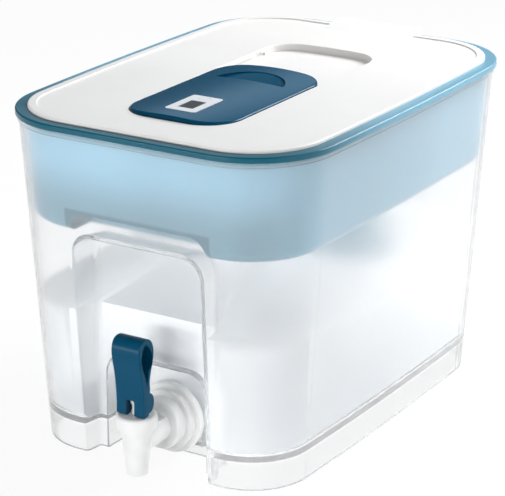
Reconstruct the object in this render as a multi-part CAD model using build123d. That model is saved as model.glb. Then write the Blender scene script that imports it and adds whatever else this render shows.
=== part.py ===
from build123d import *
import math
import os

# Lengths are in millimetres. X is to the right seen from the front, Y to the rear, Z up.
# The origin is the middle of the base, on the surface that the dispenser stands on.

# Shared
OVERRUN = 5.0
RUNNING_GAP = 0.05
SEAT_GAP = 0.3

# Tank: a drafted shell with bowed long sides
TANK_WIDTH = 195.2
TANK_LENGTH = 290.6
TANK_CORNER = 41.2
TANK_HEIGHT = 222.5
SIDE_BOW = 1.7
DRAFT_DEGREES = 3.89
TANK_WALL = 2.5
FLOOR_UNDERSIDE = 19.1
FLOOR_EDGE_RADIUS = 6.0
BEAD_DEPTH = 4.9
BEAD_HEIGHT = 3.0
BEAD_PROUD = 1.0

# Alcove in the tank's front wall, flared to the front, with a deeper pocket for the tap
ALCOVE_HALF = 44.2
ALCOVE_TOP = 148.7
ALCOVE_CORNER = 10.0
ALCOVE_DEPTH = 12.7
ALCOVE_DRAFT_DEGREES = 8.5
ALCOVE_INNER_RADIUS = 0.5
POCKET_HALF = 38.0
POCKET_TOP = 66.0
POCKET_CORNER = 14.0
POCKET_DEPTH = 33.3
BACK_EDGE_RADIUS = 2.0
SUMP_HALF = 20.0
SUMP_FLOOR = 8.0
SUMP_LENGTH = 27.0
SUMP_CORNER = 6.0

# Hopper: flange on the tank's top edge and a basin inside the tank
RIM_SIDE_OVERHANG = 2.12
RIM_END_OVERHANG = 1.12
RIM_CORNER_OVERHANG = 0.77
RIM_THICKNESS = 2.2
RIM_LIP = 3.7
RIM_EDGE_RADIUS = 1.0
HOPPER_WALL = 2.2
HOPPER_GAP = 1.5
HOPPER_DEPTH = 69.0
HOPPER_EDGE_RADIUS = 8.0
NOTCH_SIDE_GAP = 4.3
NOTCH_HEADROOM = 15.3
NOTCH_CORNER = 12.0
NOTCH_GAP = 1.5

# Cartridge socket in the rear of the hopper
SOCKET_SETBACK = 51.3
SOCKET_DEPTH = 83.0
SOCKET_SEAT_DEPTH = 7.5
SOCKET_LEDGE = 4.0
SOCKET_OUTLET_WIDTH = 34.0
SOCKET_OUTLET_DEPTH = 20.0

# Cartridge
CARTRIDGE_WIDTH = 62.0
CARTRIDGE_DEPTH = 50.0
CARTRIDGE_CORNER = 22.0
CARTRIDGE_BODY_HEIGHT = 75.0
CARTRIDGE_DRAFT_DEGREES = 2.0
CARTRIDGE_WALL = 1.8
CARTRIDGE_GAP = 0.6
CARTRIDGE_FLANGE = 3.4
CARTRIDGE_FLANGE_THICKNESS = 3.0
SEAL_THICKNESS = 1.8
MESH_THICKNESS = 1.0
CAP_HEIGHT = 17.0
CAP_WALL = 1.8
CAP_EDGE_RADIUS = 8.0
CAP_INSET = 2.0
CAP_SLOT_COUNT = 7
CAP_SLOT_WIDTH = 2.6
CAP_SLOT_LENGTH = 16.0
CAP_SLOT_PITCH = 6.0
RING_WIDTH = 26.0
RING_HEIGHT = 13.0
RING_THICKNESS = 4.0
RING_BAND = 3.6
GRILLE_SLOT_COUNT = 7
GRILLE_SLOT_WIDTH = 2.4
GRILLE_SLOT_LENGTH = 22.0
GRILLE_SLOT_PITCH = 5.0

# Lid
LID_INSET = 8.1
LID_EDGE = 2.1
LID_BORDER = 5.5
LID_SUNK = 0.9
LID_PLATE = 2.5
LID_EDGE_RADIUS = 1.0
LID_SKIRT_DEPTH = 10.0
LID_SKIRT_WALL = 2.0
LID_SKIRT_GAP = 3.5
TAB_HALF = 33.0
TAB_RISE = 2.3
TAB_SETBACK = 17.45
TAB_CREST_SETBACK = 4.45
TAB_OVERHANG = 3.2
TAB_SIDE_RADIUS = 6.0
TRACK_DEPTH = 4.9
TRACK_FLOOR = 2.2
TRACK_WALL = 3.6
TRACK_GAP = 0.5
TRACK_EDGE_RADIUS = 0.8
GROOVE_DEPTH = 1.5
GROOVE_HEIGHT = 2.2
FILL_HALF = 29.0
FILL_SETBACK = 9.0
FILL_LENGTH = 57.0
FILL_CORNER = 14.0
DETENT_SETBACK = 33.0
DETENT_LENGTH = 7.0
DETENT_DEPTH = 0.9
DETENT_HEIGHT = 1.3

# Sliding cover
COVER_HALF = 39.2
COVER_SETBACK = 36.45
COVER_LENGTH = 135.0
COVER_REAR_BOW = 4.0
COVER_FRONT_RADIUS = 24.0
COVER_REAR_RADIUS = 20.0
COVER_TRAVEL = 72.0
COVER_EDGE_PROUD = 0.7
COVER_CROWN = 2.1
COVER_WALL = 2.0
COVER_EDGE_RADIUS = 1.5
TONGUE_WIDTH = 1.2
TONGUE_HEIGHT = 1.6
SCOOP_HALF = 26.0
SCOOP_SETBACK = 38.0
SCOOP_LENGTH = 22.0
SCOOP_DEPTH = 3.4
SCOOP_EDGE_RADIUS = 2.0

# Change indicator in the cover
MEMO_WIDTH = 22.4
MEMO_LENGTH = 35.0
MEMO_CORNER = 2.0
MEMO_SETBACK = 31.4
MEMO_PROUD = 0.2
MEMO_WALL = 1.0
MEMO_GAP = 0.1
BEZEL_THICKNESS = 0.8
DISPLAY_WIDTH = 11.4
DISPLAY_LENGTH = 16.6
DISPLAY_OFFSET = 2.6
DISPLAY_SUNK = 0.3
BUTTON_WIDTH = 9.0
BUTTON_LENGTH = 4.6
BUTTON_OFFSET = 12.2
BUTTON_TRAVEL = 0.5
BUTTON_GAP = 0.3
BUTTON_BRIM = 0.7
BUTTON_BRIM_THICKNESS = 0.5
BOARD_THICKNESS = 0.8
BOARD_LEDGE = 0.8
SWITCH_RADIUS = 1.8
CELL_RADIUS = 6.2
CELL_THICKNESS = 1.2
MEMO_COVER_THICKNESS = 0.8

# Tap
SPOUT_REACH = 43.4
SPOUT_TIP_HEIGHT = 0.8
SPOUT_TIP_RADIUS = 6.9
SPOUT_STEP_RISE = 2.0
SPOUT_STEP_RADIUS = 9.7
SPOUT_STEP = 0.7
SHOULDER_RISE = 7.6
BARREL_RADIUS = 11.3
BARREL_THREAD_RADIUS = 10.0
THREAD_LENGTH = 6.4
CHAMBER_RADIUS = 8.2
CHAMBER_DROP = 7.5
SPOUT_BORE_RADIUS = 4.8
SHANK_HEIGHT = 25.0
NECK_RADIUS = 10.8
RING_RADII = (17.0, 20.8, 24.2)
RING_LENGTHS = (9.0, 4.6, 4.8)
RING_EDGE_SHARE = 0.25
SHANK_RADIUS = 8.6
SHANK_BORE_RADIUS = 6.0
SHANK_LENGTH = 24.0
SHANK_HOLE_GAP = 0.4
FRONT_WASHER_RADIUS = 21.5
FRONT_WASHER_THICKNESS = 2.2
REAR_WASHER_RADIUS = 14.5
REAR_WASHER_THICKNESS = 2.0
NUT_FLATS = 26.0
NUT_THICKNESS = 7.0
NUT_EDGE = 1.0
BONNET_RADIUS = 13.4
BONNET_GAP = 0.6
BONNET_HEIGHT = 8.65
BONNET_ROOF = 2.6
BONNET_EDGE_RADIUS = 2.0
STEM_RADIUS = 2.8
STEM_GAP = 0.3
STEM_FOOT_RADIUS = 4.2
STEM_FOOT_THICKNESS = 2.4
STEM_EYE_WIDTH = 5.0
PIN_RISE = 8.15
PIN_RADIUS = 1.5
PIN_INSET = 1.2
CUP_RADIUS = 6.8
CUP_FOOT = 3.0
CUP_WAIST_RADIUS = 5.4
CUP_LIP_RADIUS = 7.9
CUP_LIP = 1.4

# Tap lever, a bent strap that straddles the stem
LEVER_HALF = 10.6
LEVER_HEIGHT = 53.0
LEVER_FOOT_DEPTH = 6.5
LEVER_FOOT_REACH = 7.5
LEVER_CLEARANCE = 0.35
LEVER_FOOT_RADIUS = 2.0
LEVER_SLOT = 6.4
LEVER_SLOT_TOP = 3.2
LEVER_SLOT_RADIUS = 1.2
LEVER_HEAD_DEPTH = 17.0
LEVER_EDGE_RADIUS = 0.8
LEVER_BOSS_HALF_DEPTH = 5.0
LEVER_BOSS_HALF_HEIGHT = 6.8
LEVER_BOSS_RISE = 0.8
# Height share of the lever, then how far the point stands ahead of the pin in head depths
LEVER_FRONT_SHARES = ((0.36, 0.45), (0.56, 0.54), (0.80, 0.68), (0.93, 0.62))
LEVER_TOP_SHARES = ((0.98, 0.49), (1.0, 0.26), (0.97, -0.08))
LEVER_REAR_SHARES = ((0.82, -0.31), (0.54, -0.10), (0.36, -0.05))
LEVER_HOLLOW_SHARES = ((0.38, 0.17), (0.60, 0.37), (0.80, 0.49), (0.93, 0.27), (0.82, -0.12), (0.60, 0.03))

# Heights and offsets that follow from the sizes above
SLOPE = math.tan(math.radians(DRAFT_DEGREES))
SIDE_RADIUS = ((TANK_LENGTH / 2 - TANK_CORNER) ** 2 + SIDE_BOW**2) / (2 * SIDE_BOW)
FLOOR_TOP = FLOOR_UNDERSIDE + TANK_WALL
BEAD_FOOT = TANK_HEIGHT - BEAD_DEPTH
ALCOVE_BACK = ALCOVE_DEPTH - TANK_LENGTH / 2
ALCOVE_EDGE_RADIUS = ALCOVE_INNER_RADIUS + TANK_WALL
POCKET_BACK = POCKET_DEPTH - TANK_LENGTH / 2
TOP_SPREAD = TANK_HEIGHT * SLOPE
RIM_WIDTH = TANK_WIDTH + 2 * (TOP_SPREAD + RIM_SIDE_OVERHANG)
RIM_LENGTH = TANK_LENGTH + 2 * (TOP_SPREAD + RIM_END_OVERHANG)
RIM_CORNER = TANK_CORNER + TOP_SPREAD + RIM_CORNER_OVERHANG
RIM_TOP = TANK_HEIGHT + RIM_THICKNESS
HOPPER_BOTTOM = TANK_HEIGHT - HOPPER_DEPTH
BASIN_OUTSET = TANK_WALL + HOPPER_GAP
BASIN_INSET = BASIN_OUTSET + HOPPER_WALL
BASIN_FLOOR = HOPPER_BOTTOM + HOPPER_WALL
NOTCH_HALF = ALCOVE_HALF + TANK_WALL + NOTCH_SIDE_GAP
NOTCH_TOP = ALCOVE_TOP + TANK_WALL + NOTCH_HEADROOM
NOTCH_BACK = ALCOVE_BACK + TANK_WALL + NOTCH_GAP
SOCKET_Y = TANK_LENGTH / 2 - SOCKET_SETBACK
SOCKET_SEAT = BASIN_FLOOR - SOCKET_SEAT_DEPTH
SOCKET_FLOOR = BASIN_FLOOR - SOCKET_DEPTH
FLANGE_FOOT = SOCKET_SEAT + SEAL_THICKNESS
FLANGE_TOP = FLANGE_FOOT + CARTRIDGE_FLANGE_THICKNESS
CARTRIDGE_FOOT = FLANGE_TOP - CARTRIDGE_BODY_HEIGHT
SIEVE_FLOOR = CARTRIDGE_FOOT + CARTRIDGE_WALL
MESH_FLOOR = FLANGE_TOP - MESH_THICKNESS
LID_WIDTH = RIM_WIDTH - 2 * LID_INSET
LID_LENGTH = RIM_LENGTH - 2 * LID_INSET
LID_CORNER = RIM_CORNER - LID_INSET
LID_TOP = RIM_TOP + LID_EDGE
LID_FIELD = LID_TOP - LID_SUNK
TAB_FRONT = LID_LENGTH / 2 - TAB_SETBACK
TAB_CREST = LID_LENGTH / 2 - TAB_CREST_SETBACK
COVER_FRONT = COVER_SETBACK - LID_LENGTH / 2
COVER_REAR = COVER_FRONT + COVER_LENGTH
FILL_FRONT = COVER_FRONT + FILL_SETBACK
DETENT_Y = COVER_REAR + COVER_TRAVEL - DETENT_SETBACK
SCOOP_FRONT = COVER_REAR - SCOOP_SETBACK
MEMO_Y = COVER_FRONT + MEMO_SETBACK
DISPLAY_Y = MEMO_Y - DISPLAY_OFFSET
BUTTON_Y = MEMO_Y + BUTTON_OFFSET
TRACK_TOP = LID_FIELD - TRACK_DEPTH
COVER_FOOT = TRACK_TOP + SEAT_GAP
COVER_EDGE_TOP = LID_FIELD + COVER_EDGE_PROUD
COVER_TOP = COVER_EDGE_TOP + COVER_CROWN
CROWN_RADIUS = (COVER_HALF**2 + COVER_CROWN**2) / (2 * COVER_CROWN)
MEMO_TOP = COVER_TOP + MEMO_PROUD
BEZEL_FOOT = MEMO_TOP - BEZEL_THICKNESS
MEMO_FOOT = COVER_FOOT + SEAT_GAP
BOARD_FLOOR = MEMO_FOOT + MEMO_COVER_THICKNESS + CELL_THICKNESS
BOARD_TOP = BOARD_FLOOR + BOARD_THICKNESS
DISPLAY_TOP = MEMO_TOP - DISPLAY_SUNK
FLANGE_FACE = POCKET_BACK - FRONT_WASHER_THICKNESS
SHANK_END = FLANGE_FACE + SHANK_LENGTH
REAR_WASHER_FACE = POCKET_BACK + TANK_WALL
NUT_FACE = REAR_WASHER_FACE + REAR_WASHER_THICKNESS
SPOUT_Y = POCKET_BACK - SPOUT_REACH
SPOUT_STEP_HEIGHT = SHANK_HEIGHT + SPOUT_STEP_RISE
BARREL_SHOULDER_HEIGHT = SHANK_HEIGHT + SHOULDER_RISE
BARREL_TOP = BARREL_SHOULDER_HEIGHT + THREAD_LENGTH
CHAMBER_FLOOR = SHANK_HEIGHT - CHAMBER_DROP
STEM_FOOT = CHAMBER_FLOOR + CUP_FOOT
BONNET_FOOT = BARREL_SHOULDER_HEIGHT + BONNET_GAP
BONNET_TOP = BONNET_FOOT + BONNET_HEIGHT
PIN_HEIGHT = BONNET_TOP + PIN_RISE
LEVER_FOOT = BONNET_TOP + LEVER_CLEARANCE


def bowed_face(width, length, corner, height):
    """Rounded rectangle at a height, with straight ends and long sides that bulge."""
    side_radius = SIDE_RADIUS + (width - TANK_WIDTH) / 2
    reach = side_radius - width / 2
    corner_y = length / 2 - corner
    corner_x = math.sqrt((side_radius - corner) ** 2 - corner_y**2) - reach
    swing = math.atan2(corner_y, corner_x + reach)
    side_x = side_radius * math.cos(swing) - reach
    side_y = side_radius * math.sin(swing)
    middle = (swing + math.pi / 2) / 2
    turn_x = corner_x + corner * math.cos(middle)
    turn_y = corner_y + corner * math.sin(middle)
    edges = []
    for x_sign in (1, -1):
        low = (x_sign * side_x, -side_y)
        high = (x_sign * side_x, side_y)
        edges.append(ThreePointArc(low, (x_sign * width / 2, 0), high))
    for y_sign in (1, -1):
        end_y = y_sign * length / 2
        edges.append(Line((-corner_x, end_y), (corner_x, end_y)))
        for x_sign in (1, -1):
            start = (x_sign * side_x, y_sign * side_y)
            turn = (x_sign * turn_x, y_sign * turn_y)
            edges.append(ThreePointArc(start, turn, (x_sign * corner_x, end_y)))
    return Pos(0, 0, height) * make_face(edges)


def drafted(bottom, top, grow):
    """Block between two heights with the tank's outline, grown or shrunk all round."""
    spread = grow + bottom * SLOPE
    width = TANK_WIDTH + 2 * spread
    length = TANK_LENGTH + 2 * spread
    face = bowed_face(width, length, TANK_CORNER + spread, bottom)
    return extrude(face, top - bottom, taper=-DRAFT_DEGREES)


def arch(half_width, top, corner, back, edge_radius, draft=0):
    """Block with a rounded arch outline, running out through the front and the base."""
    front = -TANK_LENGTH
    outline = Pos(0, (top - OVERRUN) / 2) * Rectangle(2 * half_width, top + OVERRUN)
    outline = fillet(outline.vertices().sort_by(Axis.Y)[-2:], corner)
    block = extrude(Plane.XZ.offset(-back) * outline, back - front, taper=-draft)
    return fillet(block.faces().sort_by(Axis.Y)[-1].edges(), edge_radius)


def alcove(grow):
    """Space of the alcove and of the tap's pocket, grown by a wall."""
    edge_radius = BACK_EDGE_RADIUS + grow
    upper_back = ALCOVE_BACK + grow
    upper = arch(
        ALCOVE_HALF + grow,
        ALCOVE_TOP + grow,
        ALCOVE_CORNER + grow,
        upper_back,
        edge_radius,
        ALCOVE_DRAFT_DEGREES,
    )
    lower_back = POCKET_BACK + grow
    lower = arch(POCKET_HALF + grow, POCKET_TOP + grow, POCKET_CORNER + grow, lower_back, edge_radius)
    return upper + lower


def front_edges(block, half_width, top):
    """Edges where the alcove opens through the front plane of a block."""
    face = block.faces().filter_by(GeomType.PLANE).sort_by(Axis.Y)[0]
    return [
        edge
        for edge in face.edges()
        if abs(edge.center().X) < half_width + 2 * OVERRUN
        and OVERRUN + FLOOR_TOP < edge.center().Z < top + 2 * OVERRUN
    ]


def sump(grow):
    """Well behind the tap's pocket, below the tank floor, so that the tap drains the tank."""
    start = POCKET_BACK + TANK_WALL - grow
    length = SUMP_LENGTH + 2 * grow
    outline = RectangleRounded(2 * (SUMP_HALF + grow), length, SUMP_CORNER + grow)
    floor = SUMP_FLOOR - grow
    return Pos(0, start + length / 2, floor) * extrude(outline, FLOOR_TOP + TANK_WALL - floor)


def along_y(radius, start, end, height):
    """Cylinder on the tap's horizontal axis."""
    turned = Rot(-90, 0, 0) * Cylinder(radius, end - start, align=(Align.CENTER, Align.CENTER, Align.MIN))
    return Pos(0, start, height) * turned


def upright(radius, bottom, top):
    """Cylinder on the spout's vertical axis."""
    column = Cylinder(radius, top - bottom, align=(Align.CENTER, Align.CENTER, Align.MIN))
    return Pos(0, SPOUT_Y, bottom) * column


def turned_on_spout(points):
    """Solid of revolution on the spout's axis, from radius and height pairs."""
    outline = make_face(Polyline(*points, close=True))
    return Pos(0, SPOUT_Y, 0) * revolve(Plane.XZ * outline, Axis.Z)


def tank():
    outer = drafted(0, TANK_HEIGHT, 0) - alcove(0)
    outer = fillet(front_edges(outer, ALCOVE_HALF, ALCOVE_TOP), ALCOVE_EDGE_RADIUS)
    cavity = drafted(FLOOR_TOP, TANK_HEIGHT + OVERRUN, -TANK_WALL)
    cavity = fillet(cavity.faces().sort_by(Axis.Z)[0].edges(), FLOOR_EDGE_RADIUS)
    cavity -= alcove(TANK_WALL)
    cavity = fillet(front_edges(cavity, ALCOVE_HALF, ALCOVE_TOP), ALCOVE_EDGE_RADIUS - TANK_WALL)
    cavity += sump(0) - alcove(TANK_WALL)
    under = drafted(-OVERRUN, FLOOR_UNDERSIDE, -TANK_WALL) - alcove(TANK_WALL) - sump(TANK_WALL)
    bead_spread = BEAD_PROUD + BEAD_FOOT * SLOPE
    bead = extrude(
        bowed_face(
            TANK_WIDTH + 2 * bead_spread, TANK_LENGTH + 2 * bead_spread, TANK_CORNER + bead_spread, BEAD_FOOT
        ),
        BEAD_HEIGHT,
    )
    shell = outer + bead - cavity - under
    hole = along_y(SHANK_RADIUS + SHANK_HOLE_GAP, POCKET_BACK - OVERRUN, POCKET_BACK + OVERRUN, SHANK_HEIGHT)
    return shell - hole


def notch(grow):
    """Space that the hopper leaves over the alcove."""
    return arch(NOTCH_HALF - grow, NOTCH_TOP - grow, NOTCH_CORNER, NOTCH_BACK - grow, BACK_EDGE_RADIUS)


def oval_prism(grow, bottom, top, taper):
    """Upright block with the cartridge's rounded outline, on the cartridge's axis."""
    outline = RectangleRounded(
        CARTRIDGE_WIDTH + 2 * grow, CARTRIDGE_DEPTH + 2 * grow, CARTRIDGE_CORNER + grow
    )
    return Pos(0, SOCKET_Y, bottom) * extrude(outline, top - bottom, taper=taper)


def cartridge_grow(height):
    """How far the drafted cartridge wall stands in from its outline under the flange."""
    return (height - FLANGE_FOOT) * math.tan(math.radians(CARTRIDGE_DRAFT_DEGREES))


def drafted_oval(grow, bottom, top):
    """Cartridge-shaped block that narrows downwards."""
    return oval_prism(grow + cartridge_grow(bottom), bottom, top, -CARTRIDGE_DRAFT_DEGREES)


def hopper():
    basin = drafted(HOPPER_BOTTOM, TANK_HEIGHT, -BASIN_OUTSET)
    basin = fillet(basin.faces().sort_by(Axis.Z)[0].edges(), HOPPER_EDGE_RADIUS)
    basin -= notch(0)
    flange = extrude(
        bowed_face(RIM_WIDTH, RIM_LENGTH, RIM_CORNER, RIM_TOP - RIM_LIP), RIM_LIP
    )
    flange = fillet(flange.faces().sort_by(Axis.Z)[-1].edges(), RIM_EDGE_RADIUS)
    flange -= drafted(RIM_TOP - RIM_LIP - OVERRUN, TANK_HEIGHT, SEAT_GAP)
    hollow = drafted(BASIN_FLOOR, RIM_TOP + OVERRUN, -BASIN_INSET)
    hollow = fillet(hollow.faces().sort_by(Axis.Z)[0].edges(), HOPPER_EDGE_RADIUS - HOPPER_WALL)
    hollow -= notch(-HOPPER_WALL)
    ledge_grow = SOCKET_LEDGE + HOPPER_WALL
    well = drafted_oval(CARTRIDGE_GAP + HOPPER_WALL, SOCKET_FLOOR - HOPPER_WALL, SOCKET_SEAT)
    collar = oval_prism(ledge_grow, SOCKET_SEAT - HOPPER_WALL, BASIN_FLOOR, 0)
    bore = drafted_oval(CARTRIDGE_GAP, SOCKET_FLOOR, SOCKET_SEAT + OVERRUN)
    counterbore = oval_prism(SOCKET_LEDGE, SOCKET_SEAT, BASIN_FLOOR + OVERRUN, 0)
    outlet = RectangleRounded(SOCKET_OUTLET_WIDTH, SOCKET_OUTLET_DEPTH, SOCKET_OUTLET_DEPTH / 2 - SEAT_GAP)
    outlet = Pos(0, SOCKET_Y, SOCKET_FLOOR - OVERRUN) * extrude(outlet, 2 * OVERRUN)
    return basin + flange + well + collar - hollow - bore - counterbore - outlet


def slots(count, pitch, width, length, bottom, top):
    """Row of rounded slots across the cartridge."""
    slot = extrude(Rot(0, 0, 90) * SlotOverall(length, width), top - bottom)
    start = -(count - 1) * pitch / 2
    return [Pos(start + index * pitch, SOCKET_Y, bottom) * slot for index in range(count)]


def cartridge_body():
    shell = drafted_oval(0, CARTRIDGE_FOOT, FLANGE_TOP)
    shell += oval_prism(CARTRIDGE_FLANGE, FLANGE_FOOT, FLANGE_TOP, 0)
    shell -= drafted_oval(-CARTRIDGE_WALL, SIEVE_FLOOR, FLANGE_TOP + OVERRUN)
    for slot in slots(
        GRILLE_SLOT_COUNT,
        GRILLE_SLOT_PITCH,
        GRILLE_SLOT_WIDTH,
        GRILLE_SLOT_LENGTH,
        CARTRIDGE_FOOT - OVERRUN,
        SIEVE_FLOOR + OVERRUN,
    ):
        shell -= slot
    return shell


def cartridge_sieve():
    return drafted_oval(-CARTRIDGE_WALL - RUNNING_GAP, SIEVE_FLOOR, SIEVE_FLOOR + MESH_THICKNESS)


def filter_media():
    return drafted_oval(-CARTRIDGE_WALL - RUNNING_GAP, SIEVE_FLOOR + MESH_THICKNESS, MESH_FLOOR)


def cartridge_mesh():
    return drafted_oval(-CARTRIDGE_WALL - RUNNING_GAP, MESH_FLOOR, FLANGE_TOP)


def cartridge_seal():
    ring = oval_prism(CARTRIDGE_FLANGE, SOCKET_SEAT, FLANGE_FOOT, 0)
    return ring - drafted_oval(RUNNING_GAP, SOCKET_SEAT - OVERRUN, FLANGE_FOOT + OVERRUN)


def cartridge_cap():
    cap_grow = CARTRIDGE_FLANGE - CAP_INSET
    dome = oval_prism(cap_grow, FLANGE_TOP, FLANGE_TOP + CAP_HEIGHT, 0)
    dome = fillet(dome.faces().sort_by(Axis.Z)[-1].edges(), CAP_EDGE_RADIUS)
    roof = FLANGE_TOP + CAP_HEIGHT - CAP_WALL
    hollow = oval_prism(cap_grow - CAP_WALL, FLANGE_TOP, roof, 0)
    hollow = fillet(hollow.faces().sort_by(Axis.Z)[-1].edges(), CAP_EDGE_RADIUS - CAP_WALL)
    cap = dome - hollow
    for side in (1, -1):
        offset = side * (RING_THICKNESS / 2 + CAP_SLOT_LENGTH / 2 + CAP_WALL)
        for slot in slots(
            CAP_SLOT_COUNT, CAP_SLOT_PITCH, CAP_SLOT_WIDTH, CAP_SLOT_LENGTH, roof - OVERRUN, roof + OVERRUN
        ):
            cap -= Pos(0, offset, 0) * slot
    ring_base = RING_HEIGHT + CAP_WALL
    outline = Pos(0, ring_base / 2) * Rectangle(RING_WIDTH, ring_base)
    outline = fillet(outline.vertices().sort_by(Axis.Y)[-2:], RING_HEIGHT / 2)
    opening = Pos(0, (CAP_WALL + ring_base - RING_BAND) / 2) * RectangleRounded(
        RING_WIDTH - 2 * RING_BAND, ring_base - RING_BAND - CAP_WALL, RING_BAND
    )
    band = extrude(Plane.XZ * (outline - opening), RING_THICKNESS / 2, both=True)
    return cap + Pos(0, SOCKET_Y, roof) * band


def cover_face(rear, grow, height):
    """Outline of the sliding cover, with round corners and a bowed rear edge."""
    half = COVER_HALF + grow
    front = COVER_FRONT - grow
    side_rear = rear + grow - COVER_REAR_BOW
    corners = [(-half, side_rear), (-half, front), (half, front), (half, side_rear)]
    edges = [Line(start, end) for start, end in zip(corners, corners[1:])]
    edges.append(ThreePointArc((half, side_rear), (0, rear + grow), (-half, side_rear)))
    outline = make_face(edges)
    ordered = outline.vertices().sort_by(Axis.Y)
    outline = fillet(ordered[:2], COVER_FRONT_RADIUS + grow)
    ordered = outline.vertices().sort_by(Axis.Y)
    outline = fillet(ordered[-2:], COVER_REAR_RADIUS + grow)
    return Pos(0, 0, height) * outline


def side_strips(inner, outer, bottom, top, front, rear):
    """Matching strips along both long sides."""
    strip = Box(outer - inner, rear - front, top - bottom)
    middle = ((inner + outer) / 2, (front + rear) / 2, (bottom + top) / 2)
    return Pos(*middle) * strip + Pos(-middle[0], middle[1], middle[2]) * strip


def grip_tab():
    """Raised tab on the lid's rear edge, ramped at the front, that a thumb lifts."""
    rear = RIM_LENGTH / 2 + TAB_OVERHANG
    under = RIM_TOP + SEAT_GAP
    crest = LID_FIELD + TAB_RISE
    seat_rear = LID_LENGTH / 2 - LID_BORDER
    side = make_face(
        Polyline(
            (TAB_FRONT, LID_FIELD),
            (TAB_CREST, crest),
            (rear, crest),
            (rear, under),
            (seat_rear, under),
            (seat_rear, LID_FIELD - LID_SUNK),
            (TAB_FRONT, LID_FIELD - LID_SUNK),
            close=True,
        )
    )
    block = extrude(Plane.YZ * side, TAB_HALF, both=True)
    plan = make_face(
        Polyline(
            (-TAB_HALF, 0), (TAB_HALF, 0), (TAB_HALF, rear), (-TAB_HALF, rear), close=True
        )
    )
    plan = fillet(plan.vertices().sort_by(Axis.Y)[-2:], TAB_SIDE_RADIUS)
    return block & extrude(plan, crest + OVERRUN)


def lid():
    plate = extrude(bowed_face(LID_WIDTH, LID_LENGTH, LID_CORNER, RIM_TOP), LID_EDGE)
    plate = fillet(plate.faces().sort_by(Axis.Z)[-1].edges(), LID_EDGE_RADIUS)
    border = 2 * LID_BORDER
    field = bowed_face(LID_WIDTH - border, LID_LENGTH - border, LID_CORNER - LID_BORDER, LID_FIELD)
    plate -= extrude(field, OVERRUN)
    skirt_grow = -BASIN_INSET - LID_SKIRT_GAP
    skirt_foot = RIM_TOP - LID_SKIRT_DEPTH
    skirt = drafted(skirt_foot, RIM_TOP, skirt_grow)
    skirt -= drafted(skirt_foot - OVERRUN, LID_FIELD - LID_PLATE, skirt_grow - LID_SKIRT_WALL)
    shell = plate + skirt + grip_tab()
    rear = COVER_REAR + COVER_TRAVEL
    tray = extrude(cover_face(rear, TRACK_GAP + TRACK_WALL, TRACK_TOP - TRACK_FLOOR), TRACK_DEPTH)
    track = extrude(cover_face(rear, TRACK_GAP, TRACK_TOP), TRACK_DEPTH + OVERRUN)
    shell = shell + tray - track
    mouth = [
        edge
        for edge in shell.edges()
        if abs(edge.center().Z - LID_FIELD) < LID_SUNK / 2
        and abs(edge.center().X) <= COVER_HALF + TRACK_WALL
        and edge.center().Y < rear + TRACK_WALL
    ]
    shell = fillet(mouth, TRACK_EDGE_RADIUS)
    groove_front = COVER_FRONT + COVER_FRONT_RADIUS
    groove_rear = rear - COVER_REAR_BOW - COVER_REAR_RADIUS
    wall = COVER_HALF + TRACK_GAP
    detent_low = TRACK_TOP + GROOVE_HEIGHT
    shell -= side_strips(
        wall - TRACK_GAP, wall + GROOVE_DEPTH, TRACK_TOP, detent_low, groove_front, groove_rear
    )
    shell -= side_strips(
        wall - TRACK_GAP,
        wall + DETENT_DEPTH,
        detent_low,
        detent_low + DETENT_HEIGHT,
        DETENT_Y - DETENT_LENGTH / 2,
        DETENT_Y + DETENT_LENGTH / 2,
    )
    opening = extrude(RectangleRounded(2 * FILL_HALF, FILL_LENGTH, FILL_CORNER), TRACK_FLOOR + 2 * OVERRUN)
    return shell - Pos(0, FILL_FRONT + FILL_LENGTH / 2, TRACK_TOP - TRACK_FLOOR - OVERRUN) * opening


def crown(sink):
    """Long horizontal cylinder whose top is the cover's crowned surface."""
    bar = Rot(90, 0, 0) * Cylinder(CROWN_RADIUS - sink, 2 * TANK_LENGTH)
    return Pos(0, 0, COVER_TOP - CROWN_RADIUS) * bar


def memo_outline(grow):
    width = MEMO_WIDTH + 2 * grow
    return Pos(0, MEMO_Y) * RectangleRounded(width, MEMO_LENGTH + 2 * grow, MEMO_CORNER + grow)


def cover_scoop():
    """Finger hollow with a steep front wall and a floor that rises to a round rear edge."""
    rear = SCOOP_FRONT + SCOOP_LENGTH
    plan = make_face(
        [
            Line((-SCOOP_HALF, SCOOP_FRONT), (SCOOP_HALF, SCOOP_FRONT)),
            ThreePointArc((SCOOP_HALF, SCOOP_FRONT), (0, rear), (-SCOOP_HALF, SCOOP_FRONT)),
        ]
    )
    side = make_face(
        Polyline(
            (SCOOP_FRONT, COVER_TOP - SCOOP_DEPTH),
            (rear, COVER_TOP - SEAT_GAP),
            (rear, COVER_TOP + OVERRUN),
            (SCOOP_FRONT, COVER_TOP + OVERRUN),
            close=True,
        )
    )
    wedge = extrude(Plane.YZ * side, SCOOP_HALF, both=True)
    scoop = wedge & (Pos(0, 0, COVER_TOP - SCOOP_DEPTH - OVERRUN) * extrude(plan, SCOOP_DEPTH + 2 * OVERRUN))
    low_edge = scoop.edges().filter_by(Axis.X).sort_by(Axis.Z)[0]
    return fillet(low_edge, SCOOP_EDGE_RADIUS)


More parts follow.
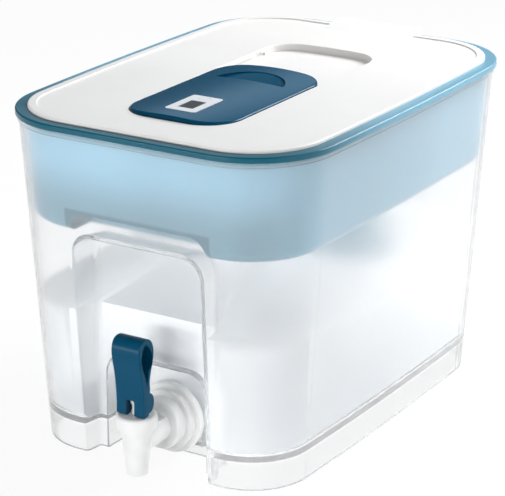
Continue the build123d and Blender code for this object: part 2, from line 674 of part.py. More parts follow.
def cover():
    height = COVER_TOP - COVER_FOOT + OVERRUN
    block = extrude(cover_face(COVER_REAR, 0, COVER_FOOT), height) & crown(0)
    top = block.faces().sort_by(Axis.Z)[-1]
    block = fillet(top.edges(), COVER_EDGE_RADIUS)
    hollow = extrude(cover_face(COVER_REAR, -COVER_WALL, COVER_FOOT - OVERRUN), height + OVERRUN)
    hollow &= crown(COVER_WALL)
    scoop_length = SCOOP_LENGTH + 2 * COVER_WALL
    island = Box(2 * (SCOOP_HALF + COVER_WALL), scoop_length, 2 * height)
    hollow -= Pos(0, SCOOP_FRONT + SCOOP_LENGTH / 2, COVER_FOOT) * island
    bay = Pos(0, 0, COVER_FOOT - OVERRUN) * extrude(memo_outline(MEMO_GAP), height + OVERRUN)
    tongue_front = COVER_FRONT + COVER_FRONT_RADIUS
    tongue_rear = COVER_REAR - COVER_REAR_BOW - COVER_REAR_RADIUS
    tongues = side_strips(
        COVER_HALF - COVER_WALL,
        COVER_HALF + TONGUE_WIDTH,
        COVER_FOOT,
        COVER_FOOT + TONGUE_HEIGHT,
        tongue_front,
        tongue_rear,
    )
    return block + tongues - hollow - bay - cover_scoop()


def plate_at(outline, bottom, top):
    return Pos(0, 0, bottom) * extrude(outline, top - bottom)


def memo_case():
    box = plate_at(memo_outline(0), MEMO_FOOT, BEZEL_FOOT)
    box -= plate_at(memo_outline(-MEMO_WALL), MEMO_FOOT - OVERRUN, BEZEL_FOOT + OVERRUN)
    ledge = plate_at(memo_outline(-MEMO_WALL / 2), BOARD_TOP, BOARD_TOP + BOARD_LEDGE)
    return box + ledge - plate_at(memo_outline(-MEMO_WALL - BOARD_LEDGE), MEMO_FOOT, BEZEL_FOOT)


def display_outline(grow):
    return Pos(0, DISPLAY_Y) * Rectangle(DISPLAY_WIDTH + 2 * grow, DISPLAY_LENGTH + 2 * grow)


def button_outline(grow):
    return Pos(0, BUTTON_Y) * SlotOverall(BUTTON_WIDTH + 2 * grow, BUTTON_LENGTH + 2 * grow)


def memo_bezel():
    plate = plate_at(memo_outline(0), BEZEL_FOOT, MEMO_TOP)
    plate -= plate_at(display_outline(MEMO_GAP), BEZEL_FOOT - OVERRUN, MEMO_TOP + OVERRUN)
    return plate - plate_at(button_outline(BUTTON_GAP), BEZEL_FOOT - OVERRUN, MEMO_TOP + OVERRUN)


def memo_display():
    return plate_at(display_outline(0), BOARD_TOP, DISPLAY_TOP)


def memo_button():
    brim_top = BEZEL_FOOT - RUNNING_GAP
    brim_foot = brim_top - BUTTON_BRIM_THICKNESS
    brim = plate_at(button_outline(BUTTON_BRIM + BUTTON_GAP), brim_foot, brim_top)
    return brim + plate_at(button_outline(0), brim_top, MEMO_TOP)


def memo_board():
    board = plate_at(memo_outline(-MEMO_WALL - RUNNING_GAP), BOARD_FLOOR, BOARD_TOP)
    button_foot = BEZEL_FOOT - RUNNING_GAP - BUTTON_BRIM_THICKNESS
    switch = Cylinder(
        SWITCH_RADIUS,
        button_foot - BUTTON_TRAVEL - RUNNING_GAP - BOARD_TOP,
        align=(Align.CENTER, Align.CENTER, Align.MIN),
    )
    return board + Pos(0, BUTTON_Y, BOARD_TOP) * switch


def memo_cell():
    cell = Cylinder(CELL_RADIUS, CELL_THICKNESS, align=(Align.CENTER, Align.CENTER, Align.MIN))
    return Pos(0, MEMO_Y, MEMO_FOOT + MEMO_COVER_THICKNESS) * cell


def memo_cover():
    return plate_at(memo_outline(-MEMO_WALL - RUNNING_GAP), MEMO_FOOT, MEMO_FOOT + MEMO_COVER_THICKNESS)


def tap_body():
    barrel = turned_on_spout(
        [
            (0, SPOUT_TIP_HEIGHT),
            (SPOUT_TIP_RADIUS, SPOUT_TIP_HEIGHT),
            (SPOUT_STEP_RADIUS, SPOUT_STEP_HEIGHT),
            (SPOUT_STEP_RADIUS + SPOUT_STEP, SPOUT_STEP_HEIGHT),
            (BARREL_RADIUS, BARREL_SHOULDER_HEIGHT),
            (BARREL_THREAD_RADIUS, BARREL_SHOULDER_HEIGHT),
            (BARREL_THREAD_RADIUS, BARREL_TOP),
            (0, BARREL_TOP),
        ]
    )
    ring_face = FLANGE_FACE
    horizontal = along_y(SHANK_RADIUS, FLANGE_FACE, SHANK_END, SHANK_HEIGHT)
    for radius, length in zip(reversed(RING_RADII), reversed(RING_LENGTHS)):
        ring = along_y(radius, ring_face - length, ring_face, SHANK_HEIGHT)
        horizontal += fillet(ring.faces().sort_by(Axis.Y)[0].edges(), length * RING_EDGE_SHARE)
        ring_face -= length
    horizontal += along_y(NECK_RADIUS, SPOUT_Y, ring_face, SHANK_HEIGHT)
    reach = ring_face - SPOUT_Y - BONNET_RADIUS + BARREL_RADIUS
    room = Box(2 * BONNET_RADIUS, 2 * reach, BARREL_TOP, align=(Align.CENTER, Align.CENTER, Align.MIN))
    body = barrel + (horizontal - Pos(0, SPOUT_Y, BARREL_SHOULDER_HEIGHT) * room)
    body -= upright(CHAMBER_RADIUS, CHAMBER_FLOOR, BARREL_TOP + OVERRUN)
    body -= upright(SPOUT_BORE_RADIUS, SPOUT_TIP_HEIGHT - OVERRUN, CHAMBER_FLOOR + OVERRUN)
    return body - along_y(SHANK_BORE_RADIUS, SPOUT_Y, SHANK_END + OVERRUN, SHANK_HEIGHT)


def shank_bore(face, thickness):
    """Bore for the tap's shank, through a piece that starts at a face."""
    return along_y(SHANK_RADIUS + RUNNING_GAP, face - OVERRUN, face + thickness + OVERRUN, SHANK_HEIGHT)


def washer(radius, face, thickness):
    disc = along_y(radius, face, face + thickness, SHANK_HEIGHT)
    return disc - shank_bore(face, thickness)


def tap_nut():
    hexagon = RegularPolygon(NUT_FLATS / 2, 6, major_radius=False)
    block = Pos(0, NUT_FACE, SHANK_HEIGHT) * (Rot(-90, 0, 0) * extrude(hexagon, NUT_THICKNESS))
    rounding = along_y(NUT_FLATS / 2 + NUT_EDGE, NUT_FACE, NUT_FACE + NUT_THICKNESS, SHANK_HEIGHT)
    block &= rounding
    return block - shank_bore(NUT_FACE, NUT_THICKNESS)


def tap_bonnet():
    cap = upright(BONNET_RADIUS, BONNET_FOOT, BONNET_TOP)
    cap = fillet(cap.faces().sort_by(Axis.Z)[-1].edges(), BONNET_EDGE_RADIUS)
    cap -= upright(BARREL_THREAD_RADIUS + RUNNING_GAP, BONNET_FOOT - OVERRUN, BONNET_TOP - BONNET_ROOF)
    return cap - upright(STEM_RADIUS + STEM_GAP, BONNET_FOOT, BONNET_TOP + OVERRUN)


def tap_stem():
    rod = upright(STEM_RADIUS, STEM_FOOT, PIN_HEIGHT)
    rod += upright(STEM_FOOT_RADIUS, STEM_FOOT, STEM_FOOT + STEM_FOOT_THICKNESS)
    eye = Pos(0, SPOUT_Y, PIN_HEIGHT) * (Rot(0, 90, 0) * Cylinder(STEM_RADIUS, STEM_EYE_WIDTH))
    hole = Pos(0, SPOUT_Y, PIN_HEIGHT) * (Rot(0, 90, 0) * Cylinder(PIN_RADIUS, 2 * LEVER_HALF))
    return rod + eye - hole


def lever_pin():
    length = 2 * (LEVER_HALF - PIN_INSET)
    return Pos(0, SPOUT_Y, PIN_HEIGHT) * (Rot(0, 90, 0) * Cylinder(PIN_RADIUS, length))


def seat_cup():
    lip_top = BONNET_TOP - BONNET_ROOF
    foot_top = CHAMBER_FLOOR + CUP_FOOT
    cup = turned_on_spout(
        [
            (0, CHAMBER_FLOOR),
            (CUP_RADIUS, CHAMBER_FLOOR),
            (CUP_RADIUS, foot_top),
            (CUP_WAIST_RADIUS, foot_top + CUP_FOOT),
            (CUP_WAIST_RADIUS, lip_top - 2 * CUP_LIP),
            (CUP_LIP_RADIUS, lip_top - CUP_LIP),
            (CUP_LIP_RADIUS, lip_top),
            (0, lip_top),
        ]
    )
    cup -= upright(STEM_RADIUS, STEM_FOOT, lip_top + OVERRUN)
    return cup - upright(STEM_FOOT_RADIUS, STEM_FOOT, STEM_FOOT + STEM_FOOT_THICKNESS)


def lever_point(height_share, reach_share):
    """Point of the lever's side outline, from shares of its height and head depth."""
    return (SPOUT_Y - reach_share * LEVER_HEAD_DEPTH, LEVER_FOOT + height_share * LEVER_HEIGHT)


def tap_lever():
    front = [lever_point(*shares) for shares in LEVER_FRONT_SHARES]
    top = [lever_point(*shares) for shares in LEVER_TOP_SHARES]
    rear = [lever_point(*shares) for shares in LEVER_REAR_SHARES]
    foot_front = (SPOUT_Y - LEVER_FOOT_REACH, LEVER_FOOT)
    foot_rear = (SPOUT_Y - LEVER_FOOT_REACH + LEVER_FOOT_DEPTH, LEVER_FOOT)
    outline = make_face(
        [
            Spline(foot_front, *front, *top, *rear),
            Line(rear[-1], foot_rear),
            Line(foot_rear, foot_front),
        ]
    )
    outline = fillet(outline.vertices().sort_by(Axis.Y)[:2], LEVER_FOOT_RADIUS)
    boss = Ellipse(LEVER_BOSS_HALF_DEPTH, LEVER_BOSS_HALF_HEIGHT)
    outline += Pos(SPOUT_Y, PIN_HEIGHT + LEVER_BOSS_RISE) * boss
    hollow = [lever_point(*shares) for shares in LEVER_HOLLOW_SHARES]
    hollow_face = make_face([Spline(*hollow), Line(hollow[-1], hollow[0])])
    lever = extrude(Plane.YZ * outline, LEVER_HALF, both=True)
    sides = lever.faces().sort_by(Axis.X)
    lever = fillet(sides[0].edges() + sides[-1].edges(), LEVER_EDGE_RADIUS)
    lever -= extrude(Plane.YZ * hollow_face, LEVER_HALF + OVERRUN, both=True)
    slot = Pos(0, (LEVER_SLOT_TOP - PIN_HEIGHT) / 2) * Rectangle(LEVER_SLOT, LEVER_SLOT_TOP + PIN_HEIGHT)
    slot = fillet(slot.vertices().sort_by(Axis.Y)[-2:], LEVER_SLOT_RADIUS)
    lever -= Pos(0, SPOUT_Y, PIN_HEIGHT) * extrude(Plane.XZ * slot, LEVER_HEAD_DEPTH, both=True)
    hole = Rot(0, 90, 0) * Cylinder(PIN_RADIUS + RUNNING_GAP, 2 * (LEVER_HALF - PIN_INSET + RUNNING_GAP))
    return lever - Pos(0, SPOUT_Y, PIN_HEIGHT) * hole


PARTS = {
    "tank": tank,
    "hopper": hopper,
    "lid": lid,
    "sliding_cover": cover,
    "cartridge_body": cartridge_body,
    "cartridge_sieve": cartridge_sieve,
    "filter_media": filter_media,
    "cartridge_mesh": cartridge_mesh,
    "cartridge_seal": cartridge_seal,
    "cartridge_cap": cartridge_cap,
    "memo_case": memo_case,
    "memo_bezel": memo_bezel,
    "memo_display": memo_display,
    "memo_button": memo_button,
    "memo_board": memo_board,
    "memo_cell": memo_cell,
    "memo_cover": memo_cover,
    "tap_body": tap_body,
    "tap_bonnet": tap_bonnet,
    "tap_stem": tap_stem,
    "seat_cup": seat_cup,
    "lever_pin": lever_pin,
    "tap_lever": tap_lever,
    "tap_nut": tap_nut,
}

os.makedirs("parts", exist_ok=True)
for name, make in PARTS.items():
    export_step(make(), f"parts/{name}.step")
export_step(washer(FRONT_WASHER_RADIUS, FLANGE_FACE, FRONT_WASHER_THICKNESS), "parts/front_washer.step")
export_step(washer(REAR_WASHER_RADIUS, REAR_WASHER_FACE, REAR_WASHER_THICKNESS), "parts/rear_washer.step")
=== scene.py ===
import math

import bmesh
import bpy
from bpy.props import FloatProperty, FloatVectorProperty, PointerProperty
from mathutils import Matrix, Vector


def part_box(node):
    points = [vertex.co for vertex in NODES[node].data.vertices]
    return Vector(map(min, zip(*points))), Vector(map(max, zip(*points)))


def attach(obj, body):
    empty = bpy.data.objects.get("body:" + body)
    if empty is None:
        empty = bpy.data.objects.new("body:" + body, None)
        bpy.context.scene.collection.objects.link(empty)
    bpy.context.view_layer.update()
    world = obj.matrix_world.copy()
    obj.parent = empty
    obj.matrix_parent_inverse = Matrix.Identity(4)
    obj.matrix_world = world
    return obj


bl_info = {
    "name": "Water Filter Dispenser",
    "version": (1, 0, 0),
    "blender": (4, 5, 0),
    "location": "View3D > Sidebar > Dispenser",
    "description": "Dresses the dispenser's solids, fills its tank and sets its stage",
    "category": "Object",
}

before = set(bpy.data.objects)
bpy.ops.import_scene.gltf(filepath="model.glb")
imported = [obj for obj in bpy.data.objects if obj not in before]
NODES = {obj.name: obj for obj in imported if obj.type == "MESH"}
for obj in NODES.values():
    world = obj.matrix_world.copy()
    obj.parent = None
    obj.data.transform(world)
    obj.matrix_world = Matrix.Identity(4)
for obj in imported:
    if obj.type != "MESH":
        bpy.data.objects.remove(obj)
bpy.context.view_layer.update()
MM = 0.001


# Shader sums

class Wire:
    """A node's output socket that takes part in Python sums."""

    def __init__(self, graph, socket):
        self.graph = graph
        self.socket = socket

    def __add__(self, other):
        return self.graph.sum("ADD", self, other)

    def __rsub__(self, other):
        return self.graph.sum("SUBTRACT", other, self)

    def __mul__(self, other):
        return self.graph.sum("MULTIPLY", self, other)

    __radd__ = __add__

    def most(self, other):
        return self.graph.sum("MAXIMUM", self, other)

    def size(self):
        return self.graph.sum("ABSOLUTE", self)

    def step(self, start, end):
        """0 before start, 1 after end, smooth between them. Start may be the higher of the two."""
        settings = {"interpolation_type": "SMOOTHSTEP"}
        return self.graph.node("ShaderNodeMapRange", settings, {"Value": self, "From Min": start, "From Max": end})


class Graph:
    """The node tree of one material, or of the world."""

    def __init__(self, name, store="materials"):
        self.owner = getattr(bpy.data, store).new(name)
        self.owner.use_nodes = True
        self.tree = self.owner.node_tree
        self.tree.nodes.clear()

    def node(self, kind, settings=None, values=None, output=0):
        made = self.tree.nodes.new(kind)
        for key, value in (settings or {}).items():
            setattr(made, key, value)
        for key, value in (values or {}).items():
            if isinstance(value, Wire):
                self.tree.links.new(value.socket, made.inputs[key])
            else:
                made.inputs[key].default_value = value
        return Wire(self, made.outputs[output]) if made.outputs else None

    def sum(self, operation, *terms):
        return self.node("ShaderNodeMath", {"operation": operation}, dict(enumerate(terms)))

    def point(self):
        """Object coordinates in metres."""
        return self.node("ShaderNodeTexCoord", output="Object")

    def along(self, vector, axis):
        return self.node("ShaderNodeSeparateXYZ", values={0: vector}, output=axis)

    def ray(self, kind):
        """1 for rays of that kind, otherwise 0."""
        return self.node("ShaderNodeLightPath", output=f"Is {kind} Ray")

    def mottle(self, point, scale, detail=3.0, stretch=(1.0, 1.0, 1.0)):
        """Noise from 0 to 1, at that many grains a metre."""
        moved = self.node("ShaderNodeMapping", values={"Vector": point, "Scale": stretch})
        return self.node("ShaderNodeTexNoise", values={"Vector": moved, "Scale": scale, "Detail": detail})

    def blend(self, share, first, second):
        settings = {"data_type": "RGBA"}
        return self.node("ShaderNodeMix", settings, {0: share, 6: opaque(first), 7: opaque(second)}, output=2)

    def bump(self, height, depth, strength):
        return self.node("ShaderNodeBump", values={"Height": height, "Distance": depth, "Strength": strength})

    def surface(self, **values):
        named = {key.replace("_", " ").title(): value for key, value in values.items()}
        for plain, real in (("Ior", "IOR"), ("Specular Ior Level", "Specular IOR Level")):
            if plain in named:
                named[real] = named.pop(plain)
        shader = self.node("ShaderNodeBsdfPrincipled", values=named)
        self.node("ShaderNodeOutputMaterial", values={"Surface": shader})
        return self.owner


def opaque(colour):
    """A colour with its alpha. The output of a node is left as it is."""
    return colour if isinstance(colour, Wire) else (*colour, 1.0)


def darker(colour, share):
    return tuple(channel * share for channel in colour)


def dress(material, *names):
    """Gives CAD nodes a finish."""
    for name in names:
        NODES[name].data.materials.clear()
        NODES[name].data.materials.append(material)
        for polygon in NODES[name].data.polygons:
            polygon.material_index = 0


def link(name, data):
    """A new object in the scene, at the origin."""
    made = bpy.data.objects.new(name, data)
    bpy.context.scene.collection.objects.link(made)
    return made


# Settings that a user would change

def tone(name, description, colour):
    return FloatVectorProperty(name=name, description=description, subtype="COLOR", default=colour)


class DispenserColours(bpy.types.PropertyGroup):
    """Colours of the mouldings and of what is in them."""

    clear: tone("Clear", "Tint of the tank's plastic", (0.99, 0.995, 1.0))
    water: tone("Water", "Tint of the filtered water", (0.975, 0.985, 0.995))
    hopper: tone("Hopper", "Body of the translucent hopper", (0.30, 0.63, 0.82))
    # The hopper's deep tone also serves as painted shade down its front and as a painted dark line along its notch.
    hopper_thick_and_shade: tone("Hopper Edge", "Hopper where its plastic is thick", (0.0, 0.14, 0.215))
    white: tone("Lid", "Warm white of the lid", (0.84, 0.825, 0.805))
    petrol: tone("Petrol", "Sliding cover and lever", (0.0, 0.064, 0.13))
    milky: tone("Milky", "Tap and cartridge", (0.85, 0.85, 0.845))
    rubber: tone("Silicone", "Washers and seals", (0.72, 0.72, 0.71))
    bezel: tone("Bezel", "Silver white of the indicator", (0.75, 0.76, 0.77))
    display: tone("Display", "Dark glass of the indicator", (0.05, 0.052, 0.055))
    case: tone("Case", "Case and battery cover of the indicator", (0.5, 0.51, 0.52))
    board: tone("Board", "Circuit board of the indicator", (0.02, 0.12, 0.05))
    steel: tone("Steel", "Coin cell of the indicator", (0.6, 0.6, 0.61))
    mesh: tone("Mesh", "Mesh and sieve of the cartridge", (0.7, 0.72, 0.74))
    granules: tone("Granules", "Filling of the cartridge", (0.12, 0.085, 0.055))


class DispenserSizes(bpy.types.PropertyGroup):
    """Sizes of what is added to the solids."""

    water_level: FloatProperty(
        name="Water Level", description="Height of the water above the shelf", unit="LENGTH", default=0.101, min=0.03
    )
    water_gap: FloatProperty(
        name="Water Gap", description="Film of air drawn between water and wall", unit="LENGTH", default=0.00015
    )


def colours():
    return bpy.context.scene.dispenser_colours


def sizes():
    return bpy.context.scene.dispenser_sizes


# Finishes. Where a tone changes, the two places are where the change starts and ends.

CLOUD = (0.3, 0.7)
FLOW = (0.35, 0.75)
# The skirt's darker tone is painted shade from the floor's shadow.
SKIRT_SHADE = (20 * MM, 17 * MM)


def clear_plastic(name, tint, roughness):
    """Moulded clear plastic with a faint haze and flow marks, with painted shade that makes the skirt a little
    darker.
    """
    graph = Graph(name)
    point = graph.point()
    flow = graph.mottle(point, scale=14.0, detail=2.0, stretch=(1.0, 1.0, 0.12))
    ripple = graph.mottle(point, scale=40.0, detail=2.0, stretch=(1.0, 1.0, 0.2))
    body = graph.blend(flow.step(*FLOW), tint, darker(tint, 0.97))
    return graph.surface(
        base_color=graph.blend(graph.along(point, "Z").step(*SKIRT_SHADE), body, darker(tint, 0.9)),
        roughness=roughness + flow * 0.05,
        ior=1.22,
        transmission_weight=0.9,
        coat_weight=0.3,
        coat_roughness=0.03,
        normal=graph.bump(ripple, depth=0.0004, strength=0.25),
    )


def water_finish():
    graph = Graph("water")
    swell = graph.mottle(graph.point(), scale=25.0, detail=1.0)
    return graph.surface(
        base_color=opaque(colours().water),
        roughness=0.35,
        ior=1.12,
        transmission_weight=0.7,
        normal=graph.bump(swell, depth=0.0006, strength=0.2),
    )


# The rim is measured down from the hopper's top, and pales from the front to the rear
HOPPER_RIM, HOPPER_RIM_PALES, HOPPER_RIM_LOSS = (12 * MM, 3 * MM), (-150 * MM, -20 * MM), 0.85
HOPPER_FRONT = (-150 * MM, -110 * MM)
HOPPER_SHADE, HOPPER_SHADE_SHARE = (205 * MM, 168 * MM), 0.65
HOPPER_FOOT, HOPPER_FOOT_SHARE = (158 * MM, 154 * MM), 0.35
# A painted dark line of shade where the hopper's front wall meets its notch.
NOTCH_SHADE_TOP = (173 * MM, 168 * MM)
NOTCH_SHADE_SIDES = (53 * MM, 57 * MM)


def hopper_finish():
    """Translucent blue that deepens at the rim and at the bottom edge, with painted shade down the front and a
    painted dark line of shade along the notch.
    """
    graph = Graph("blue_clear_plastic")
    point = graph.point()
    x, y, z = (graph.along(point, axis) for axis in "XYZ")
    low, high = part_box("hopper")
    pale = y.step(*HOPPER_RIM_PALES) * HOPPER_RIM_LOSS
    rim = z.step(*(high.z - depth for depth in HOPPER_RIM)) * (1 - pale)
    front = 1 - y.step(*HOPPER_FRONT)
    # Painted shade line along the notch.
    notch = z.step(*NOTCH_SHADE_TOP) * (1 - x.size().step(*NOTCH_SHADE_SIDES)) * front
    shade = z.step(*HOPPER_SHADE) * front * HOPPER_SHADE_SHARE
    foot = z.step(*HOPPER_FOOT) * HOPPER_FOOT_SHARE
    cloud = graph.mottle(point, scale=9.0, detail=2.0, stretch=(1.0, 1.0, 0.4))
    body = graph.blend(cloud.step(*CLOUD), colours().hopper, darker(colours().hopper, 0.9))
    return graph.surface(
        base_color=graph.blend(rim.most(notch).most(foot).most(shade), body, colours().hopper_thick_and_shade),
        roughness=0.3 + cloud * 0.06,
        ior=1.3,
        transmission_weight=0.35,
        coat_weight=0.15,
        coat_roughness=0.05,
    )


def moulded(name, colour, roughness, coat=0.0, grain=900.0, grain_depth=0.00004, shine=0.5):
    """Opaque moulded plastic with a fine grain and slight tone changes."""
    graph = Graph(name)
    point = graph.point()
    cloud = graph.mottle(point, scale=12.0)
    fine = graph.mottle(point, scale=grain, detail=2.0)
    return graph.surface(
        base_color=graph.blend(cloud.step(*CLOUD), colour, darker(colour, 0.96)),
        roughness=roughness + fine * 0.08,
        specular_ior_level=shine,
        coat_weight=coat,
        coat_roughness=0.08,
        normal=graph.bump(fine, depth=grain_depth, strength=0.5),
    )


def milky_finish(name, colour):
    """Milky plastic that lets some light through."""
    graph = Graph(name)
    cloud = graph.mottle(graph.point(), scale=60.0, detail=2.0)
    return graph.surface(
        base_color=graph.blend(cloud.step(*CLOUD), colour, darker(colour, 0.95)),
        roughness=0.28 + cloud * 0.06,
        subsurface_weight=0.25,
        subsurface_radius=(0.004, 0.004, 0.004),
        coat_weight=0.25,
        coat_roughness=0.1,
    )


# Operators

class DISPENSER_OT_tank(bpy.types.Operator):
    """Dress the tank and fill it with water"""

    bl_idname = "dispenser.tank"
    bl_label = "Tank and Water"

    MERGE_DISTANCE = 1e-6
    CUT_DISTANCE = 1e-7
    # The bore for the tap's shank, measured from its axis and from the rear face of the front washer
    BORE_RADIUS = 9.3 * MM
    BORE_START, BORE_END = -0.1 * MM, 2.6 * MM
    ON_THE_FLOOR = Vector((0, 50 * MM, 21.6 * MM))

    def execute(self, context):
        dress(clear_plastic("clear_plastic", colours().clear, roughness=0.2), "tank")
        NODES["tank"].visible_shadow = False
        self.fill(sizes().water_level, sizes().water_gap)
        return {"FINISHED"}

    def fill(self, level, gap):
        """Cuts the tank's inner skin off at the water line, closes it and draws it in from the walls."""
        mesh = bmesh.new()
        mesh.from_mesh(NODES["tank"].data)
        bmesh.ops.remove_doubles(mesh, verts=mesh.verts, dist=self.MERGE_DISTANCE)
        bmesh.ops.bisect_plane(
            mesh,
            geom=mesh.verts[:] + mesh.edges[:] + mesh.faces[:],
            dist=self.CUT_DISTANCE,
            plane_co=(0, 0, level),
            plane_no=(0, 0, 1),
            clear_outer=True,
        )
        bmesh.ops.delete(mesh, geom=self.bore(mesh), context="FACES")
        inner = self.reached(min(mesh.verts, key=lambda vertex: (vertex.co - self.ON_THE_FLOOR).length))
        bmesh.ops.delete(mesh, geom=[vertex for vertex in mesh.verts if vertex not in inner], context="VERTS")
        bmesh.ops.holes_fill(mesh, edges=[edge for edge in mesh.edges if edge.is_boundary], sides=0)
        bmesh.ops.recalc_face_normals(mesh, faces=mesh.faces)
        mesh.normal_update()
        for vertex in mesh.verts:
            vertex.co -= vertex.normal * gap
        data = bpy.data.meshes.new("water")
        mesh.to_mesh(data)
        mesh.free()
        data.materials.append(water_finish())
        water = link("water", data)
        water.visible_shadow = False
        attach(water, "tank")

    def bore(self, mesh):
        """The faces that join the tank's two skins round the tap's shank."""
        shank_low, shank_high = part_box("front_washer")
        axis = (shank_low + shank_high) / 2
        found = []
        for face in mesh.faces:
            centre = face.calc_center_median()
            near = math.hypot(centre.x - axis.x, centre.z - axis.z) < self.BORE_RADIUS
            if near and shank_high.y + self.BORE_START < centre.y < shank_high.y + self.BORE_END:
                found.append(face)
        return found

    def reached(self, first):
        """The vertices that edges join to the first."""
        found = {first}
        front = [first]
        while front:
            vertex = front.pop()
            for edge in vertex.link_edges:
                other = edge.other_vert(vertex)
                if other not in found:
                    found.add(other)
                    front.append(other)
        return found


class DISPENSER_OT_hopper(bpy.types.Operator):
    """Dress the hopper"""

    bl_idname = "dispenser.hopper"
    bl_label = "Hopper"

    def execute(self, context):
        dress(hopper_finish(), "hopper")
        return {"FINISHED"}


class DISPENSER_OT_lid(bpy.types.Operator):
    """Dress the lid"""

    bl_idname = "dispenser.lid"
    bl_label = "Lid"

    def execute(self, context):
        dress(moulded("white_plastic", colours().white, roughness=0.3, shine=0.25), "lid")
        return {"FINISHED"}


class DISPENSER_OT_cover(bpy.types.Operator):
    """Dress the sliding cover"""

    bl_idname = "dispenser.cover"
    bl_label = "Sliding Cover"

    def execute(self, context):
        dress(moulded("petrol_plastic", colours().petrol, roughness=0.15, shine=0.12), "sliding_cover")
        return {"FINISHED"}


class DISPENSER_OT_indicator(bpy.types.Operator):
    """Dress the change indicator"""

    bl_idname = "dispenser.indicator"
    bl_label = "Change Indicator"

    def execute(self, context):
        dress(moulded("silver_plastic", colours().bezel, roughness=0.3, coat=0.2), "memo_bezel", "memo_button")
        dress(moulded("display_glass", colours().display, roughness=0.3, shine=0.1), "memo_display")
        dress(moulded("grey_plastic", colours().case, roughness=0.45), "memo_case", "memo_cover")
        dress(moulded("circuit_board", colours().board, roughness=0.4, coat=0.2), "memo_board")
        dress(moulded("steel", colours().steel, roughness=0.3), "memo_cell")
        return {"FINISHED"}


class DISPENSER_OT_cartridge(bpy.types.Operator):
    """Dress the cartridge"""

    bl_idname = "dispenser.cartridge"
    bl_label = "Cartridge"

    def execute(self, context):
        dress(milky_finish("cartridge_plastic", colours().milky), "cartridge_body", "cartridge_cap")
        mesh = moulded("mesh", colours().mesh, roughness=0.5, grain=1500.0, grain_depth=0.0003)
        dress(mesh, "cartridge_mesh", "cartridge_sieve")
        dress(moulded("granules", colours().granules, roughness=0.7, grain=700.0, grain_depth=0.0008), "filter_media")
        dress(moulded("seal", colours().rubber, roughness=0.5), "cartridge_seal")
        return {"FINISHED"}


class DISPENSER_OT_tap(bpy.types.Operator):
    """Dress the tap"""

    bl_idname = "dispenser.tap"
    bl_label = "Tap"

    def execute(self, context):
        milky = milky_finish("milky_plastic", colours().milky)
        dress(milky, "tap_body", "tap_bonnet", "tap_stem", "lever_pin", "tap_nut")
        dress(moulded("silicone", colours().rubber, roughness=0.5), "front_washer", "rear_washer", "seat_cup")
        dress(moulded("lever_plastic", colours().petrol, roughness=0.25, shine=0.12), "tap_lever")
        return {"FINISHED"}


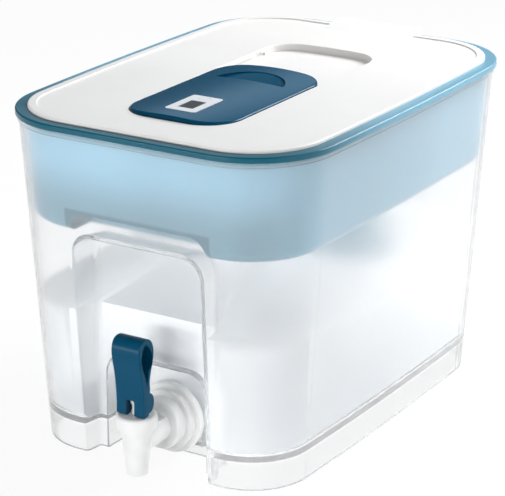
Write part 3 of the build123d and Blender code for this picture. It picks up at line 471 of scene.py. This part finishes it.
class DISPENSER_OT_stage(bpy.types.Operator):
    """Set the floor, the lights and the camera"""

    bl_idname = "dispenser.stage"
    bl_label = "Stage"

    FLOOR_REACH = 4.0
    FLOOR_DROP = 0.5 * MM
    FLOOR_COLOUR = (0.9, 0.9, 0.9)
    # How much of the floor that the camera sees glows white. The rest shows the shadow.
    FLOOR_GLOW = 0.92
    # Reflections see a dark sky above the horizon. Matt surfaces are lit by a grey one.
    HORIZON = (-0.1, 0.0)
    SKY_DIMMED = 0.92
    SKY_ON_MATT = 0.53
    SKY_COLOUR = (0.97, 0.985, 1.0)
    WHITE = (1.0, 1.0, 1.0)
    # Name, place, width, height, watts and colour of each lamp
    LAMPS = (
        ("key", (2.1, -0.5, 0.35), 1.2, 1.2, 13.5, WHITE),
        ("fill", (-0.6, -2.2, 0.12), 1.4, 0.24, 24.0, WHITE),
        ("rear", (0.35, 0.7, 0.75), 0.5, 0.5, 11.5, WHITE),
        ("streak", (-0.27, 0.37, 0.405), 0.5, 0.07, 0.16, (0.6, 0.8, 1.0)),
    )
    # Where the photograph was taken from, and its own frame in pixels
    TURN, TILT, ROLL = math.radians(32.05), math.radians(19.6), math.radians(-0.08)
    DISTANCE = 1.5417
    AIM = Vector((0, 0, 0.11305))
    ASIDE, ABOVE = -0.0199, -0.0073
    FOCAL_PX, FRAME_PX = 2270.25, 505
    CENTRE_PX = (-17.75, 1.09)
    SENSOR = 36.0
    CLIP = (0.05, 20.0)

    def execute(self, context):
        self.floor()
        self.world()
        for lamp in self.LAMPS:
            self.lamp(*lamp)
        self.camera()
        context.scene.view_settings.view_transform = "Standard"
        return {"FINISHED"}

    def floor(self):
        mesh = bmesh.new()
        bmesh.ops.create_grid(mesh, x_segments=1, y_segments=1, size=self.FLOOR_REACH)
        bmesh.ops.translate(mesh, verts=mesh.verts, vec=(0, 0, -self.FLOOR_DROP))
        data = bpy.data.meshes.new("floor")
        mesh.to_mesh(data)
        mesh.free()
        floor = link("floor", data)
        graph = Graph("pale_floor")
        share = (graph.ray("Camera") * self.FLOOR_GLOW).most(graph.ray("Glossy")).most(graph.ray("Transmission"))
        glow = graph.node("ShaderNodeEmission", values={"Color": opaque(self.WHITE), "Strength": 1.0})
        matt = graph.node("ShaderNodeBsdfDiffuse", values={"Color": opaque(self.FLOOR_COLOUR)})
        both = graph.node("ShaderNodeMixShader", values={0: share, 1: matt, 2: glow})
        graph.node("ShaderNodeOutputMaterial", values={"Surface": both})
        data.materials.append(graph.owner)

    def world(self):
        graph = Graph("studio", "worlds")
        bpy.context.scene.world = graph.owner
        gloss = graph.ray("Glossy")
        climb = graph.along(graph.node("ShaderNodeTexCoord", output="Generated"), "Z")
        reflected = 1 - climb.step(*self.HORIZON) * self.SKY_DIMMED
        seen = graph.ray("Camera").most(graph.ray("Transmission")).most(self.SKY_ON_MATT)
        strength = gloss * reflected + (1 - gloss) * seen
        glow = graph.node("ShaderNodeBackground", values={"Color": opaque(self.SKY_COLOUR), "Strength": strength})
        graph.node("ShaderNodeOutputWorld", values={"Surface": glow})

    def lamp(self, name, place, width, height, watts, colour):
        light = bpy.data.lights.new(name, "AREA")
        light.shape = "RECTANGLE"
        light.size, light.size_y = width, height
        light.energy = watts
        light.color = colour
        lamp = link(name, light)
        lamp.location = place
        lamp.rotation_euler = (self.AIM - lamp.location).to_track_quat("-Z", "Y").to_euler()
        lamp.visible_camera = False
        lamp.visible_transmission = False

    def camera(self):
        back = Vector((
            math.sin(self.TURN) * math.cos(self.TILT),
            -math.cos(self.TURN) * math.cos(self.TILT),
            math.sin(self.TILT),
        ))
        right = Vector((math.cos(self.TURN), math.sin(self.TURN), 0))
        up = back.cross(right)
        turned = Matrix((right, up, back)).transposed() @ Matrix.Rotation(self.ROLL, 3, "Z")
        lens = bpy.data.cameras.new("camera")
        lens.sensor_width = self.SENSOR
        lens.lens = self.FOCAL_PX * self.SENSOR / self.FRAME_PX
        lens.shift_x = -self.CENTRE_PX[0] / self.FRAME_PX
        lens.shift_y = self.CENTRE_PX[1] / self.FRAME_PX
        lens.clip_start, lens.clip_end = self.CLIP
        place = self.AIM + right * self.ASIDE + up * self.ABOVE + back * self.DISTANCE
        camera = link("camera", lens)
        camera.matrix_world = Matrix.Translation(place) @ turned.to_4x4()
        bpy.context.scene.camera = camera


class DISPENSER_PT_panel(bpy.types.Panel):
    """Lists the dispenser's pieces and their settings"""

    bl_idname = "DISPENSER_PT_panel"
    bl_label = "Dispenser"
    bl_space_type = "VIEW_3D"
    bl_region_type = "UI"
    bl_category = "Dispenser"

    def draw(self, context):
        for operator in OPERATORS:
            self.layout.operator(operator.bl_idname)
        for group in (colours(), sizes()):
            for name in group.bl_rna.properties.keys():
                if name not in ("rna_type", "name"):
                    self.layout.prop(group, name)


OPERATORS = (
    DISPENSER_OT_stage,
    DISPENSER_OT_tank,
    DISPENSER_OT_hopper,
    DISPENSER_OT_lid,
    DISPENSER_OT_cover,
    DISPENSER_OT_indicator,
    DISPENSER_OT_cartridge,
    DISPENSER_OT_tap,
)
CLASSES = (DispenserColours, DispenserSizes, *OPERATORS, DISPENSER_PT_panel)


def register():
    for cls in CLASSES:
        bpy.utils.register_class(cls)
    bpy.types.Scene.dispenser_colours = PointerProperty(type=DispenserColours)
    bpy.types.Scene.dispenser_sizes = PointerProperty(type=DispenserSizes)


def unregister():
    del bpy.types.Scene.dispenser_sizes
    del bpy.types.Scene.dispenser_colours
    for cls in reversed(CLASSES):
        bpy.utils.unregister_class(cls)


def main():
    register()
    for operator in OPERATORS:
        group, name = operator.bl_idname.split(".")
        getattr(getattr(bpy.ops, group), name)()


if __name__ == "__main__":
    main()
